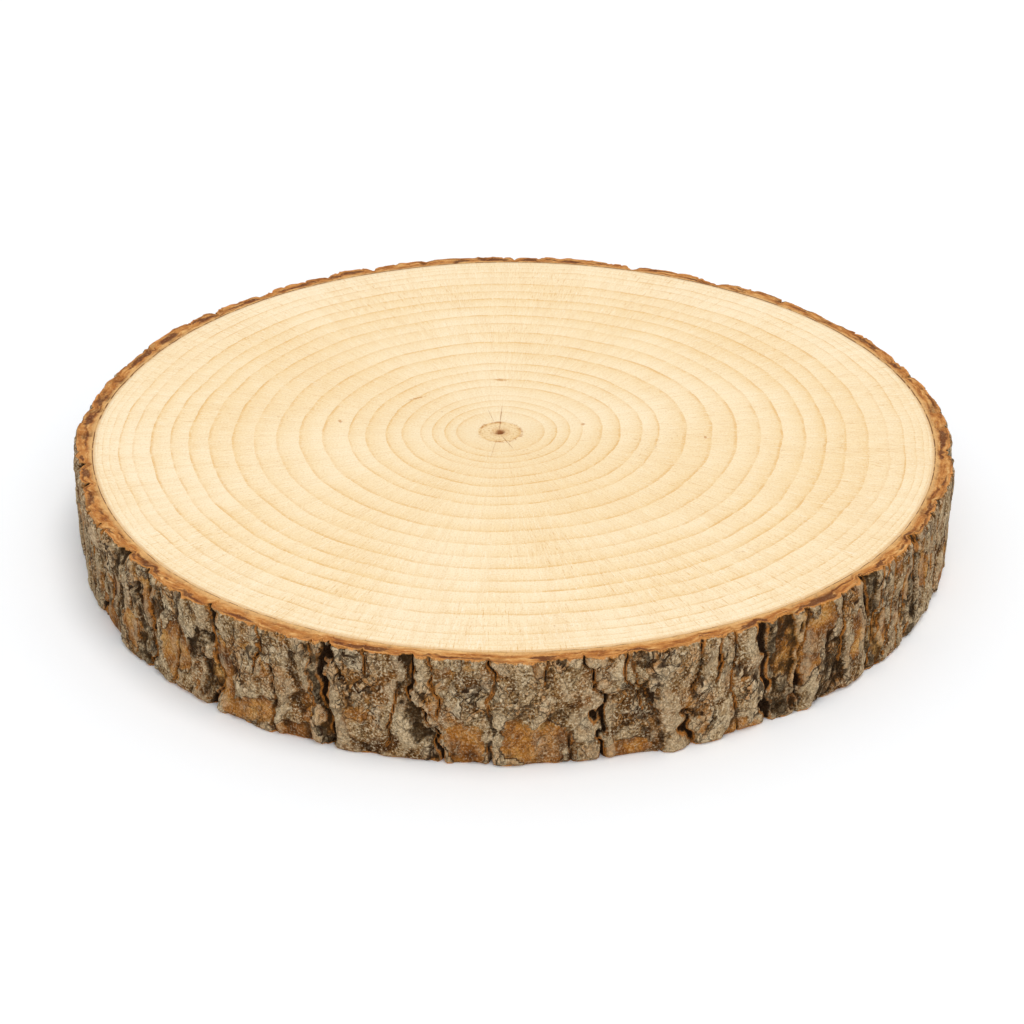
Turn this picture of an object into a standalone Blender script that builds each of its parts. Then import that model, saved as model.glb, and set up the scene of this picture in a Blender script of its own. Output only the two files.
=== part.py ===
"""A wood slice: one round cut across a trunk, with its bark on, lying flat.

It is one piece. +Z is up, the origin is the middle of the underside and the front is -Y.
An azimuth is measured round from the front, positive towards +X.
"""

import math
import random

import bmesh
import bpy
from mathutils import Matrix, Vector, noise

OBJECT_NAME = "wood_slice"

# Driving dimensions, in metres.
DIAMETER = 0.3035  # mean, over the bark plates
THICKNESS = 0.037  # between the two sawn faces
EDGE_BREAK = 0.0012  # the bark's sawn edges crumble by this much
PITH_OFFSET = (-0.0049, -0.0031)  # the pith lies a little off the middle
PITH_RADIUS = 0.0018  # the small hollow where the pith has dried out
PITH_DEPTH = 0.005

# How the outline wanders from a circle: waves round the trunk, height in metres, phase in degrees.
OUTLINE_WAVES = (
    (2, 0.0006, 180.0),
    (3, 0.0005, 75.0),
    (5, 0.0003, 140.0),
    (8, 0.0002, 10.0),
)

# The deep fissures across the front: azimuth at mid height and lean from bottom to top, both in
# degrees, then width and depth in metres.
FRONT_FISSURES = (
    (-50.4, 1.0, 0.0044, 0.0026),
    (-37.8, -0.4, 0.0062, 0.0030),
    (-21.8, -1.6, 0.0064, 0.0030),
    (-10.0, -5.2, 0.0048, 0.0028),
    (-2.4, -0.4, 0.0044, 0.0026),
    (10.0, -1.6, 0.0046, 0.0028),
    (15.9, -3.6, 0.0034, 0.0016),
    (21.3, 0.9, 0.0044, 0.0026),
    (31.6, -1.4, 0.0066, 0.0030),
    (36.6, 1.8, 0.0046, 0.0028),
    (47.8, -2.2, 0.0050, 0.0028),
)
BACK_FISSURES = 23  # fissures over the rest of the rim, spread by a rule
BACK_SEED = 11
PLATE_STEP = 0.0005  # how far one bark plate stands above or below the next
SURFACE_WAVE = 0.0007  # height of the plates' own unevenness
SURFACE_WAVES_PER_METRE = 110.0

# How finely the rim is cut.
RIM_SEGMENTS = 400
SIDE_ROWS = 6  # rows between the two broken edges

WOOD_COLOUR = (0.90, 0.72, 0.47, 1.0)
WOOD_ROUGHNESS = 0.62


def clear_scene():
    for old in list(bpy.data.objects):
        bpy.data.objects.remove(old, do_unlink=True)


def new_collection(name):
    collection = bpy.data.collections.new(name)
    bpy.context.scene.collection.children.link(collection)
    return collection


def new_material(name, colour, roughness):
    material = bpy.data.materials.new(name)
    material.use_nodes = True
    shader = material.node_tree.nodes["Principled BSDF"]
    shader.inputs["Base Color"].default_value = colour
    shader.inputs["Roughness"].default_value = roughness
    shader.inputs["Metallic"].default_value = 0.0
    return material


def back_fissures():
    """Fissures round the sides and back, evenly spread and then jogged so that none repeats."""
    rng = random.Random(BACK_SEED)
    start = FRONT_FISSURES[-1][0]
    gap = (360.0 + FRONT_FISSURES[0][0] - start) / (BACK_FISSURES + 1)
    fissures = []
    for number in range(1, BACK_FISSURES + 1):
        azimuth = start + gap * (number + rng.uniform(-0.25, 0.25))
        lean = rng.uniform(-3.0, 3.0)
        width = rng.uniform(0.0040, 0.0066)
        depth = rng.uniform(0.0022, 0.0030)
        fissures.append((azimuth, lean, width, depth))
    return fissures


def turn_between(first, second):
    """Signed angle in degrees from the first azimuth to the second, the short way round."""
    return (second - first + 180.0) % 360.0 - 180.0


def groove(distance, width, depth):
    """Depth of a rounded groove at a distance from its middle."""
    share = abs(distance) / (width / 2)
    if share >= 1.0:
        return 0.0
    return depth * (0.5 + 0.5 * math.cos(math.pi * share))


def outline_wander(azimuth):
    total = 0.0
    for waves, height, phase in OUTLINE_WAVES:
        total += height * math.cos(math.radians(waves * azimuth + phase))
    return total


def plate_step(azimuth, fissures, steps):
    """Each plate between two fissures has its own step, blended across the fissure."""
    nearest = min(range(len(fissures)), key=lambda k: abs(turn_between(fissures[k][0], azimuth)))
    distance = turn_between(fissures[nearest][0], azimuth)
    before, after = steps[nearest], steps[(nearest + 1) % len(steps)]
    share = min(max(0.5 + distance / 2.0, 0.0), 1.0)
    return before + (after - before) * share


def bark_radius(azimuth, height, fissures, steps):
    """Radius of the bark's outside at an azimuth in degrees and a height in metres."""
    radius = DIAMETER / 2 + outline_wander(azimuth) + plate_step(azimuth, fissures, steps)
    turn = math.radians(azimuth)
    place = Vector((math.sin(turn), -math.cos(turn), 0.0)) * (DIAMETER / 2)
    place.z = height * 0.5
    radius += SURFACE_WAVE * noise.noise(place * SURFACE_WAVES_PER_METRE)
    height_share = height / THICKNESS - 0.5
    deepest = 0.0
    for middle, lean, width, depth in fissures:
        turned = turn_between(middle + lean * height_share, azimuth)
        distance = math.radians(turned) * DIAMETER / 2
        deepest = max(deepest, groove(distance, width, depth))
    return radius - deepest


def add_side_rows(bm):
    """Cuts the plain cylinder's side into rows, with one close to each sawn face."""
    inner = THICKNESS - 2 * EDGE_BREAK
    for row in range(SIDE_ROWS + 1):
        level = EDGE_BREAK + inner * row / SIDE_ROWS
        geometry = bm.verts[:] + bm.edges[:] + bm.faces[:]
        bmesh.ops.bisect_plane(bm, geom=geometry, plane_co=(0, 0, level), plane_no=(0, 0, 1))


def shape_bark(bm):
    """Moves each point of the rim out or in to the bark's surface."""
    fissures = sorted(list(FRONT_FISSURES) + back_fissures())
    rng = random.Random(BACK_SEED + 1)
    steps = [rng.uniform(-PLATE_STEP, PLATE_STEP) for _ in fissures]
    for vertex in bm.verts:
        azimuth = math.degrees(math.atan2(vertex.co.x, -vertex.co.y))
        radius = bark_radius(azimuth, vertex.co.z, fissures, steps)
        on_face = min(vertex.co.z, THICKNESS - vertex.co.z) < EDGE_BREAK / 2
        if on_face:
            radius -= EDGE_BREAK
        turn = math.radians(azimuth)
        vertex.co.x = radius * math.sin(turn)
        vertex.co.y = -radius * math.cos(turn)


def centre_on_origin(bm):
    """Puts the middle of the outline on the origin."""
    xs = [vertex.co.x for vertex in bm.verts]
    ys = [vertex.co.y for vertex in bm.verts]
    middle = Vector((max(xs) + min(xs), max(ys) + min(ys), 0.0)) / 2
    for vertex in bm.verts:
        vertex.co -= middle


def make_slice(collection):
    bm = bmesh.new()
    bmesh.ops.create_cone(
        bm,
        cap_ends=True,
        segments=RIM_SEGMENTS,
        radius1=DIAMETER / 2,
        radius2=DIAMETER / 2,
        depth=THICKNESS,
        matrix=Matrix.Translation((0, 0, THICKNESS / 2)),
    )
    add_side_rows(bm)
    shape_bark(bm)
    centre_on_origin(bm)
    mesh = bpy.data.meshes.new(OBJECT_NAME)
    bm.to_mesh(mesh)
    bm.free()
    mesh.shade_smooth()
    mesh.set_sharp_from_angle(angle=math.radians(50))
    body = bpy.data.objects.new(OBJECT_NAME, mesh)
    body.data.materials.append(new_material("end_grain_and_bark", WOOD_COLOUR, WOOD_ROUGHNESS))
    collection.objects.link(body)
    return body


def make_pith_cutter(collection):
    """A short tapered plug, which leaves the small hollow at the pith."""
    bm = bmesh.new()
    bmesh.ops.create_cone(
        bm,
        cap_ends=True,
        segments=12,
        radius1=PITH_RADIUS / 2,
        radius2=PITH_RADIUS * 1.5,
        depth=PITH_DEPTH * 2,
        matrix=Matrix.Translation((*PITH_OFFSET, THICKNESS)),
    )
    mesh = bpy.data.meshes.new("pith_cutter")
    bm.to_mesh(mesh)
    bm.free()
    cutter = bpy.data.objects.new("pith_cutter", mesh)
    cutter.hide_render = True
    cutter.display_type = "WIRE"
    collection.objects.link(cutter)
    return cutter


def cut_pith(body, cutter):
    cut = body.modifiers.new("pith_hollow", "BOOLEAN")
    cut.operation = "DIFFERENCE"
    cut.solver = "EXACT"
    cut.object = cutter


def main():
    clear_scene()
    body = make_slice(new_collection(OBJECT_NAME))
    cutter = make_pith_cutter(new_collection("cutters"))
    cut_pith(body, cutter)


main()
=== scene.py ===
"""The looks of a wood slice lying flat: sanded end grain, a sawn ring of inner bark and furrowed outer bark.

One closed mesh stands for the CAD's one solid. All lengths are in metres. An azimuth is measured round
from the front (-Y), positive towards +X.
"""

import math
import random

import bpy
import numpy as np
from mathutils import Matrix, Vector


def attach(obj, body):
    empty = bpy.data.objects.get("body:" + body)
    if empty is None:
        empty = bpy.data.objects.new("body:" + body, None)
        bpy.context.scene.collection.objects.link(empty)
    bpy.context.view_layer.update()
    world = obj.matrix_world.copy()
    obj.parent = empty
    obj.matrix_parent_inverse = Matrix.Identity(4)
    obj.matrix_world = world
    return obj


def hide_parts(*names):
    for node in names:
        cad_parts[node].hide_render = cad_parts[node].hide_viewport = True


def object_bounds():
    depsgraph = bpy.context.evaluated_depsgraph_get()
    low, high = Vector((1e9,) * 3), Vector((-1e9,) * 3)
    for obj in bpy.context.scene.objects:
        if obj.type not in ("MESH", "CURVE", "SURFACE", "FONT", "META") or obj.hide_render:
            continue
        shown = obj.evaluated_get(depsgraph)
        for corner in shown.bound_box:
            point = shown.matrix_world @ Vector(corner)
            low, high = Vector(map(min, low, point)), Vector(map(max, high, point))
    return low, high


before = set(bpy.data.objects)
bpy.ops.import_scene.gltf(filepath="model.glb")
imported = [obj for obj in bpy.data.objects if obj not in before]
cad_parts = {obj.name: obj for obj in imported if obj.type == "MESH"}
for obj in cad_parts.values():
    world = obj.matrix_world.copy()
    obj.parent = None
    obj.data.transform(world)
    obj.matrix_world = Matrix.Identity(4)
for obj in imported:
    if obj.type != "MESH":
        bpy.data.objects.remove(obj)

CAD_NODE = "wood_slice"
PIECE_NAME = "wood_slice_grown"

CAD_LOW, CAD_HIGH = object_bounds()
THICKNESS = CAD_HIGH.z - CAD_LOW.z
OUTER_RADIUS = 0.1509  # the circle that the bark plates stand about
WOOD_RADIUS = 0.1447  # the wood inside the bark
WOOD_MIDDLE = (0.0003, 0.0004)  # it lies a little off the middle: the bark is thickest at the front left
PITH = (-0.0049, -0.0031)

# The outline's waves and the deep fissures are the CAD's own: see part.py.
OUTLINE_WAVES = ((2, 0.0006, 180.0), (3, 0.0005, 75.0), (5, 0.0003, 140.0), (8, 0.0002, 10.0))
FRONT_FISSURES = (
    (-50.4, 1.0, 0.0044, 0.0026),
    (-37.8, -0.4, 0.0062, 0.003),
    (-21.8, -1.6, 0.0064, 0.003),
    (-10.0, -5.2, 0.0048, 0.0028),
    (-2.4, -0.4, 0.0044, 0.0026),
    (10.0, -1.6, 0.0046, 0.0028),
    (15.9, -3.6, 0.0034, 0.0016),
    (21.3, 0.9, 0.0044, 0.0026),
    (31.6, -1.4, 0.0066, 0.003),
    (36.6, 1.8, 0.0046, 0.0028),
    (47.8, -2.2, 0.005, 0.0028),
)
BACK_FISSURES = 23
BACK_SEED = 11
PLATE_STEP = 0.0005

# What lies across the front, each with its azimuth at mid height and its lean from bottom to top in
# degrees, then from and to as shares of the height. First the narrow cracks.
FRONT_CRACKS = (
    (-71.0, -2.0, 0.0, 1.0),
    (-66.5, 1.0, 0.3, 1.0),
    (-60.2, -2.0, 0.0, 1.0),
    (-56.0, 2.0, 0.0, 1.0),
    (-53.2, -1.0, 0.0, 0.7),
    (-44.0, 2.5, 0.0, 0.6),
    (-46.8, -1.0, 0.55, 1.0),
    (-31.6, 1.0, 0.55, 1.0),
    (-28.7, -1.5, 0.0, 0.66),
    (-17.2, -2.0, 0.78, 1.0),
    (-13.8, 3.5, 0.12, 0.7),
    (-8.6, -2.5, 0.45, 1.0),
    (3.9, 0.5, 0.8, 1.0),
    (6.2, -1.0, 0.0, 0.25),
    (26.9, -1.4, 0.0, 1.0),
    (24.0, 1.0, 0.6, 1.0),
    (42.9, -0.8, 0.25, 1.0),
    (50.6, 2.0, 0.3, 1.0),
    (53.0, 1.5, 0.0, 1.0),
    (56.4, -1.0, 0.0, 0.7),
    (59.5, 2.0, 0.0, 1.0),
    (63.8, -1.5, 0.2, 1.0),
    (68.0, 1.0, 0.0, 1.0),
)
# The flaky, sunken strips beside some fissures, which also have a half width in metres.
FRONT_STRIPS = (
    (-57.0, 1.0, 0.0, 1.0, 0.0026),
    (-51.8, -1.0, 0.0, 0.8, 0.0028),
    (-48.3, 1.5, 0.2, 1.0, 0.0026),
    (-39.6, -0.4, 0.0, 0.66, 0.004),
    (-22.6, -1.4, 0.0, 1.0, 0.003),
    (-11.2, -5.2, 0.0, 1.0, 0.0021),
    (32.9, -1.2, 0.0, 1.0, 0.005),
    (41.2, 0.5, 0.0, 0.64, 0.0046),
    (48.7, -2.0, 0.0, 1.0, 0.004),
)
# Patches where outer scales have dropped off and the rust-brown layer shows: azimuth, height share,
# half width in degrees and half height as a share.
FRONT_RUST = (
    (-58.5, 0.62, 1.8, 0.18),
    (-54.4, 0.33, 2.4, 0.16),
    (-49.8, 0.62, 1.6, 0.22),
    (-44.2, 0.4, 2.6, 0.26),
    (-36.0, 0.36, 1.9, 0.4),
    (-31.8, 0.16, 3.6, 0.18),
    (-27.0, 0.05, 3.0, 0.1),
    (-22.0, 0.25, 1.0, 0.14),
    (-4.7, 0.16, 3.2, 0.2),
    (1.6, 0.18, 4.4, 0.24),
    (12.5, 0.05, 2.4, 0.09),
    (27.6, 0.07, 1.8, 0.12),
    (33.8, 0.7, 1.3, 0.26),
    (36.3, 0.55, 1.6, 0.34),
    (40.0, 0.82, 1.2, 0.16),
    (46.0, 0.55, 1.3, 0.2),
    (51.0, 0.35, 1.4, 0.22),
    (56.5, 0.66, 1.3, 0.2),
)
BACK_TURNS = (56.0, 302.0)  # the azimuths of the sides and back
BACK_CRACKS_PER_GAP = 2
BACK_STRIPS = 13
BACK_RUST = 28
CRACK_WIDTH = 0.0015
CRACK_DEPTH = 0.0012
STRIP_DEPTH = 0.0011
PLATE_TOPS = 60  # this share of the bark in percent lies below the outer circle
RUST_DEPTH = 0.00045

# The plates split into tall slabs, and those into scales and small chips: the size of each kind, and how
# far its highest stands above its lowest.
SLAB_SIZE, SLAB_STEP = 0.0115, 0.0012
SCALE_SIZE, SCALE_STEP = 0.011, 0.0011
CHIP_SIZE, CHIP_STEP = 0.0056, 0.0008

GRIT_SIZE = 0.0017
GRIT_STEP, STRIP_GRIT_STEP = 0.00014, 0.00024  # height everywhere, and what is added inside the flaky strips

# Mesh density.
COLUMNS = 1280  # round the rim; halved inwards as the rings get shorter
SIDE_ROWS = 43  # between the two edge bands
EDGE_LEVELS = (0.0, 0.0004, 0.0009, 0.0015)
EDGE_TO_ROWS = 0.0022
BAND_SHARES = (0.84, 0.62, 0.4, 0.2)  # across the sawn bark, from its outside in

# The layout of the surface in the exported model's square picture.
STRIP_COLUMNS = 427  # columns of the rim in each of its three strips
STRIP_HEIGHT = 0.114
STRIP_GAP = 0.005
UPPER_DISC = (0.318, 0.682, 0.312)  # middle and half width
UNDER_DISC = (0.812, 0.818, 0.176)


# ---------------- repeatable noise


def lattice(x, y, z, seed):
    """A repeatable number from 0 to 1 for each whole-numbered place."""
    mask = 0xFFFFFFFF
    mixed = (x * 374761393 + y * 668265263 + z * 1440670441 + seed * 974711) & mask
    mixed = ((mixed ^ (mixed >> 13)) * 1274126177) & mask
    mixed = ((mixed ^ (mixed >> 15)) * 1103515245) & mask
    mixed = mixed ^ (mixed >> 16)
    return (mixed & 0xFFFFFF) / float(0x1000000)


def smooth_noise(points, seed):
    """Value noise from -1 to 1, with one lattice cell to each unit of the points."""
    base = np.floor(points).astype(np.int64)
    part = points - base
    part = part * part * (3.0 - 2.0 * part)
    total = np.zeros(points.shape[:-1])
    for step in np.ndindex(2, 2, 2):
        weight = np.prod(np.abs(1 - np.array(step) - part), axis=-1)
        x, y, z = (base[..., axis] + step[axis] for axis in range(3))
        total += weight * lattice(x, y, z, seed)
    return total * 2.0 - 1.0


def rough_noise(points, seed, octaves, fall=0.5):
    """Several octaves of smooth noise, from about -1 to 1."""
    total = np.zeros(points.shape[:-1])
    height, most = 1.0, 0.0
    for octave in range(octaves):
        total += height * smooth_noise(points * 2.0**octave, seed + 31 * octave)
        most += height
        height *= fall
    return total / most


def lapped_scales(points, seed, edge):
    """Scattered scales that lap over each other: the height, each scale's own from 0 to 1 and level but for
    its edge, and how far a point is above (or below, when negative) the scale across the nearest edge."""
    base = np.floor(points).astype(np.int64)
    shape = points.shape[:-1]
    nearest = np.full(shape, np.inf)
    second = np.full(shape, np.inf)
    own = np.zeros(shape)
    other = np.zeros(shape)
    for step in np.ndindex(3, 3, 3):
        x, y, z = (base[..., axis] + step[axis] - 1 for axis in range(3))
        middle = [start + lattice(x, y, z, seed + axis) for axis, start in enumerate((x, y, z))]
        away = np.linalg.norm(points - np.stack(middle, axis=-1), axis=-1)
        value = lattice(x, y, z, seed + 3)
        closest = away < nearest
        other = np.where(closest, own, np.where(away < second, value, other))
        second = np.where(closest, nearest, np.minimum(second, away))
        own = np.where(closest, value, own)
        nearest = np.where(closest, away, nearest)
    inside = smooth_step(0.0, edge, second - nearest)
    height = other + (own - other) * (0.5 + 0.5 * inside)
    return height, (own - other) * (1.0 - inside)


def blurred(height, columns, rows):
    """The height averaged over a patch of the rim."""
    total = sum(np.roll(height, k, axis=1) for k in range(-columns, columns + 1)) / (2 * columns + 1)
    padded = np.pad(total, ((rows, rows), (0, 0)), mode="edge")
    return sum(padded[k : k + len(height)] for k in range(2 * rows + 1)) / (2 * rows + 1)


def smooth_step(low, high, value):
    """0 below low and 1 above high, with a smooth rise between them."""
    share = np.clip((value - low) / (high - low), 0.0, 1.0)
    return share * share * (3.0 - 2.0 * share)


# ---------------- the bark's surface


def back_fissures():
    """The CAD's rule for the fissures round the sides and back."""
    rng = random.Random(BACK_SEED)
    start = FRONT_FISSURES[-1][0]
    gap = (360.0 + FRONT_FISSURES[0][0] - start) / (BACK_FISSURES + 1)
    fissures = []
    for number in range(1, BACK_FISSURES + 1):
        azimuth = start + gap * (number + rng.uniform(-0.25, 0.25))
        lean = rng.uniform(-3.0, 3.0)
        width = rng.uniform(0.004, 0.0066)
        depth = rng.uniform(0.0022, 0.003)
        fissures.append((azimuth, lean, width, depth))
    return fissures


def turn_between(first, second):
    """The signed turn in degrees from the first azimuth to the second, the short way round."""
    return (second - first + 180.0) % 360.0 - 180.0


def back_cracks(fissures):
    """Narrow cracks between the fissures round the back, each over part of the height."""
    rng = random.Random(BACK_SEED + 2)
    cracks = []
    for first, second in zip(fissures, fissures[1:]):
        for _ in range(BACK_CRACKS_PER_GAP):
            azimuth = rng.uniform(first[0] + 2.0, second[0] - 2.0)
            start = rng.choice((0.0, 0.0, rng.uniform(0.1, 0.5)))
            end = rng.choice((1.0, 1.0, rng.uniform(0.5, 0.9)))
            cracks.append((azimuth, rng.uniform(-3.0, 3.0), start, end))
    return cracks


def back_strips(fissures):
    """Sunken strips beside some of the back's fissures."""
    rng = random.Random(BACK_SEED + 3)
    strips = []
    for azimuth, lean, width, _ in sorted(rng.sample(fissures, BACK_STRIPS)):
        half = rng.uniform(0.002, 0.0046)
        aside = math.degrees(half / OUTER_RADIUS) * rng.choice((-0.7, 0.7))
        start = rng.choice((0.0, 0.0, rng.uniform(0.2, 0.5)))
        end = rng.choice((1.0, 1.0, rng.uniform(0.6, 0.9)))
        strips.append((azimuth + aside, lean, start, end, half))
    return strips


def back_rust():
    """Bare patches anywhere round the back."""
    rng = random.Random(BACK_SEED + 4)
    patches = []
    for _ in range(BACK_RUST):
        share = rng.choice((rng.uniform(0.1, 0.3), rng.uniform(0.3, 0.9)))
        patches.append((rng.uniform(*BACK_TURNS), share, rng.uniform(0.8, 3.2), rng.uniform(0.08, 0.24)))
    return patches


def outline_wander(azimuth):
    """How far the outline is from the circle."""
    total = np.zeros_like(azimuth)
    for waves, height, phase in OUTLINE_WAVES:
        total += height * np.cos(np.radians(waves * azimuth + phase))
    return total


def distance_to_line(azimuth, level, middle, lean, seed, wander):
    """Distance in metres round the rim from a line that climbs the bark, wandering as it goes."""
    turned = turn_between(middle + lean * (level / THICKNESS - 0.5), azimuth)
    distance = np.radians(turned) * OUTER_RADIUS
    track = np.stack([level / 0.011, np.full_like(level, seed * 7.3), np.zeros_like(level)], axis=-1)
    fine = track * np.array((3.1, 1.0, 1.0))
    return distance + wander * (smooth_noise(track, seed) + 0.5 * smooth_noise(fine, seed + 5))


def reach(level, start, end):
    """1 between two shares of the height, falling to 0 beyond them."""
    share = level / THICKNESS
    fall = smooth_step(end - 0.02, end + 0.06, share)
    return smooth_step(start - 0.06, start + 0.02, share) * (1.0 - fall)


def carve_fissures(azimuth, level, fissures, ragged):
    """Depth of the deep fissures, and how near a point is to one, from 0 to 1."""
    depth_there = np.zeros_like(level)
    near = np.zeros_like(level)
    for number, (middle, lean, width, depth) in enumerate(fissures):
        distance = distance_to_line(azimuth, level, middle, lean, 100 + number, 0.0024) + ragged
        track = np.stack([level / 0.0055, np.full_like(level, number * 3.7), np.zeros_like(level)], axis=-1)
        half = 0.5 * width * (0.54 + 0.42 * smooth_noise(track, 160 + number))
        share = np.abs(distance) / half
        crack = 1.0 - smooth_step(0.1, 0.5, share)
        slope = 1.0 - smooth_step(0.35, 1.3, share)
        open_here = 0.72 + 0.28 * np.clip(2.0 * smooth_noise(track * 0.6, 190 + number), -1.0, 1.0)
        depth_there = np.maximum(depth_there, depth * open_here * (0.66 * crack + 0.34 * slope))
        near = np.maximum(near, 1.0 - smooth_step(0.0, 0.005, np.abs(distance)))
    return depth_there, near


def carve_cracks(azimuth, level, cracks, ragged):
    """How deep the narrow cracks are, from 0 to 1."""
    narrow = np.zeros_like(level)
    for number, (middle, lean, start, end) in enumerate(cracks):
        distance = distance_to_line(azimuth, level, middle, lean, 300 + number, 0.0015) + ragged * 0.7
        cut = 1.0 - smooth_step(0.0001, CRACK_WIDTH * 0.5, np.abs(distance))
        narrow = np.maximum(narrow, cut * reach(level, start, end))
    return narrow


def sunken_strips(azimuth, level, strips, ragged):
    """1 inside the flaky strips, 0 outside."""
    sunken = np.zeros_like(level)
    for number, (middle, lean, start, end, half) in enumerate(strips):
        distance = distance_to_line(azimuth, level, middle, lean, 500 + number, 0.0012) + ragged * 2.2
        across = 1.0 - smooth_step(0.85, 1.1, np.abs(distance) / half)
        sunken = np.maximum(sunken, across * reach(level + ragged * 3.0, start, end))
    return sunken


def patches_at(azimuth, level, patches, place, lap):
    """1 inside ragged patches, 0 outside, falling across their edges."""
    wobble = 0.95 * rough_noise(place / 0.0085, 600, 4, 0.66) + 1.05 * (lap - 0.5)
    inside = np.zeros_like(level)
    for middle, share, half_turn, half_share in patches:
        across = turn_between(middle, azimuth) / half_turn
        up = (level / THICKNESS - share) / half_share
        inside = np.maximum(inside, 1.0 - smooth_step(0.98, 1.14, np.hypot(across, up) + wobble))
    return inside


def between_plates(azimuth, fissures, values):
    """The value of the plate that each azimuth is on, from one value for each gap between fissures."""
    middles = np.array([fissure[0] for fissure in fissures])
    turned = turn_between(middles[:, None, None], azimuth[None])
    nearest = np.abs(turned).argmin(axis=0)
    signed = np.take_along_axis(turned, nearest[None], axis=0)[0]
    table = np.array(values)
    before, after = table[nearest], table[(nearest + 1) % len(table)]
    return before + (after - before) * np.clip(0.5 + signed / 2.0, 0.0, 1.0)


def bark_surface(azimuth, level):
    """The outer bark over a grid of azimuths and heights: radius, and fields for its material."""
    turn = np.radians(azimuth)
    place = np.stack([np.sin(turn) * OUTER_RADIUS, -np.cos(turn) * OUTER_RADIUS, level], axis=-1)
    tall = place * np.array((1.0, 1.0, 0.5))

    fissures = sorted(list(FRONT_FISSURES) + back_fissures())
    rng = random.Random(BACK_SEED + 1)
    steps = [rng.uniform(-PLATE_STEP, PLATE_STEP) for _ in fissures]
    plate_tones = [rng.uniform(0.0, 1.0) for _ in fissures]
    at_back = [fissure for fissure in fissures if not -50.0 < fissure[0] < 47.0]

    warp = np.stack([rough_noise(place / 0.006, 60 + k, 3) for k in range(3)], axis=-1)
    squat = place * np.array((1.0, 1.0, 0.8))
    slim = place * np.array((1.0, 1.0, 0.34))
    lap, lap_edge = lapped_scales((squat + warp * 0.0042) / SCALE_SIZE, 70, 0.15)
    chip, chip_edge = lapped_scales((squat + warp * 0.0026) / CHIP_SIZE, 80, 0.24)
    slab, slab_edge = lapped_scales((slim + warp * 0.0034) / SLAB_SIZE, 75, 0.12)
    lap_edge = np.where(np.abs(slab_edge) > np.abs(lap_edge), slab_edge, lap_edge)
    ragged = 0.0015 * rough_noise(tall / 0.0046, 40, 3, 0.6) + 0.003 * (lap - 0.5) + 0.0014 * (chip - 0.5)
    fissure, near = carve_fissures(azimuth, level, fissures, ragged)
    narrow = carve_cracks(azimuth, level, list(FRONT_CRACKS) + back_cracks(at_back), ragged)
    sunken = sunken_strips(azimuth, level, list(FRONT_STRIPS) + back_strips(at_back[1:-1]), ragged)
    rust = patches_at(azimuth, level, list(FRONT_RUST) + back_rust(), place, lap)

    grit = rough_noise(place / GRIT_SIZE, 90, 2, 0.7) * (GRIT_STEP + STRIP_GRIT_STEP * sunken)
    small = SCALE_STEP * (lap - 0.5) + CHIP_STEP * (chip - 0.5) * (1.0 + 0.8 * sunken) + grit
    relief = SLAB_STEP * (slab - 0.5) + small * (1.0 - 0.75 * rust)
    relief = relief * (1.0 - 0.5 * smooth_step(0.0012, 0.0026, fissure))

    edge = np.minimum(level, THICKNESS - level)
    crumble = 0.5 + 0.5 * rough_noise(place / 0.006, 95, 3)
    broken = (0.0004 + 0.001 * crumble) * (1.0 - smooth_step(0.0, 0.0006 + 0.0016 * crumble, edge))

    deep = fissure + STRIP_DEPTH * sunken * (1.0 - 0.5 * fissure / 0.003) + RUST_DEPTH * rust
    height = between_plates(azimuth, fissures, steps) + relief
    height = height - deep - CRACK_DEPTH * narrow * (1.0 - 0.5 * sunken) - 0.0005 * near
    height = height - np.percentile(height, PLATE_TOPS)
    radius = OUTER_RADIUS + outline_wander(azimuth) + height - broken

    # How far a point stands above its surroundings; the bark's material paints highlight onto the high spots
    # and shade into the hollows from this.
    proud = height - blurred(blurred(height, 3, 2), 3, 2)
    fields = {
        "fissure": np.clip(fissure / 0.0024 + 0.62 * narrow, 0.0, 1.0),
        "tone": between_plates(azimuth, fissures, plate_tones),
        "lap": lap,
        "lap_edge": lap_edge,
        "chip": chip,
        "chip_edge": chip_edge,
        "proud": np.clip(0.5 + proud / 0.0012, 0.0, 1.0),
        "rust": rust * (1.0 - 0.8 * smooth_step(0.0008, 0.002, fissure)),
        "sunken": sunken,
    }
    return radius, fields


# ---------------- the mesh


class Builder:
    """Collects points, faces and per-point fields of one mesh."""

    FIELDS = (
        "fissure", "tone", "lap", "lap_edge", "chip", "chip_edge", "proud", "rust", "sunken",
        "ring", "band", "check", "side",
    )

    def __init__(self):
        self.points = []
        self.fields = {name: [] for name in self.FIELDS}
        self.faces = []
        self.materials = []
        self.count = 0

    def row(self, xyz, **fields):
        """Adds a row of points and returns their numbers."""
        size = len(xyz)
        self.points.append(np.asarray(xyz, float))
        for name in self.FIELDS:
            value = fields.get(name, 0.0)
            self.fields[name].append(np.broadcast_to(np.asarray(value, float), size).copy())
        numbers = np.arange(self.count, self.count + size)
        self.count += size
        return numbers

    def face(self, corners, material, flip):
        self.faces.append(corners[::-1] if flip else corners)
        self.materials.append(material)

    def band(self, first, second, material, flip=False):
        """Joins two closed rows, each running the same way round; the second may have half the points.
        Seen from outside, the first row is below or outside and the rows run to the right."""
        for k in range(len(second)):
            n = (k + 1) % len(second)
            if len(first) == len(second):
                self.face((first[k], first[n], second[n], second[k]), material, flip)
                continue
            a, b, c = first[2 * k], first[2 * k + 1], first[(2 * k + 2) % len(first)]
            self.face((a, b, second[k]), material, flip)
            self.face((b, second[n], second[k]), material, flip)
            self.face((b, c, second[n]), material, flip)

    def fan(self, row, middle, material, flip):
        for k in range(len(row)):
            self.face((row[k], row[(k + 1) % len(row)], middle), material, flip)


WOOD, INNER_BARK, OUTER_BARK = range(3)

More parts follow.
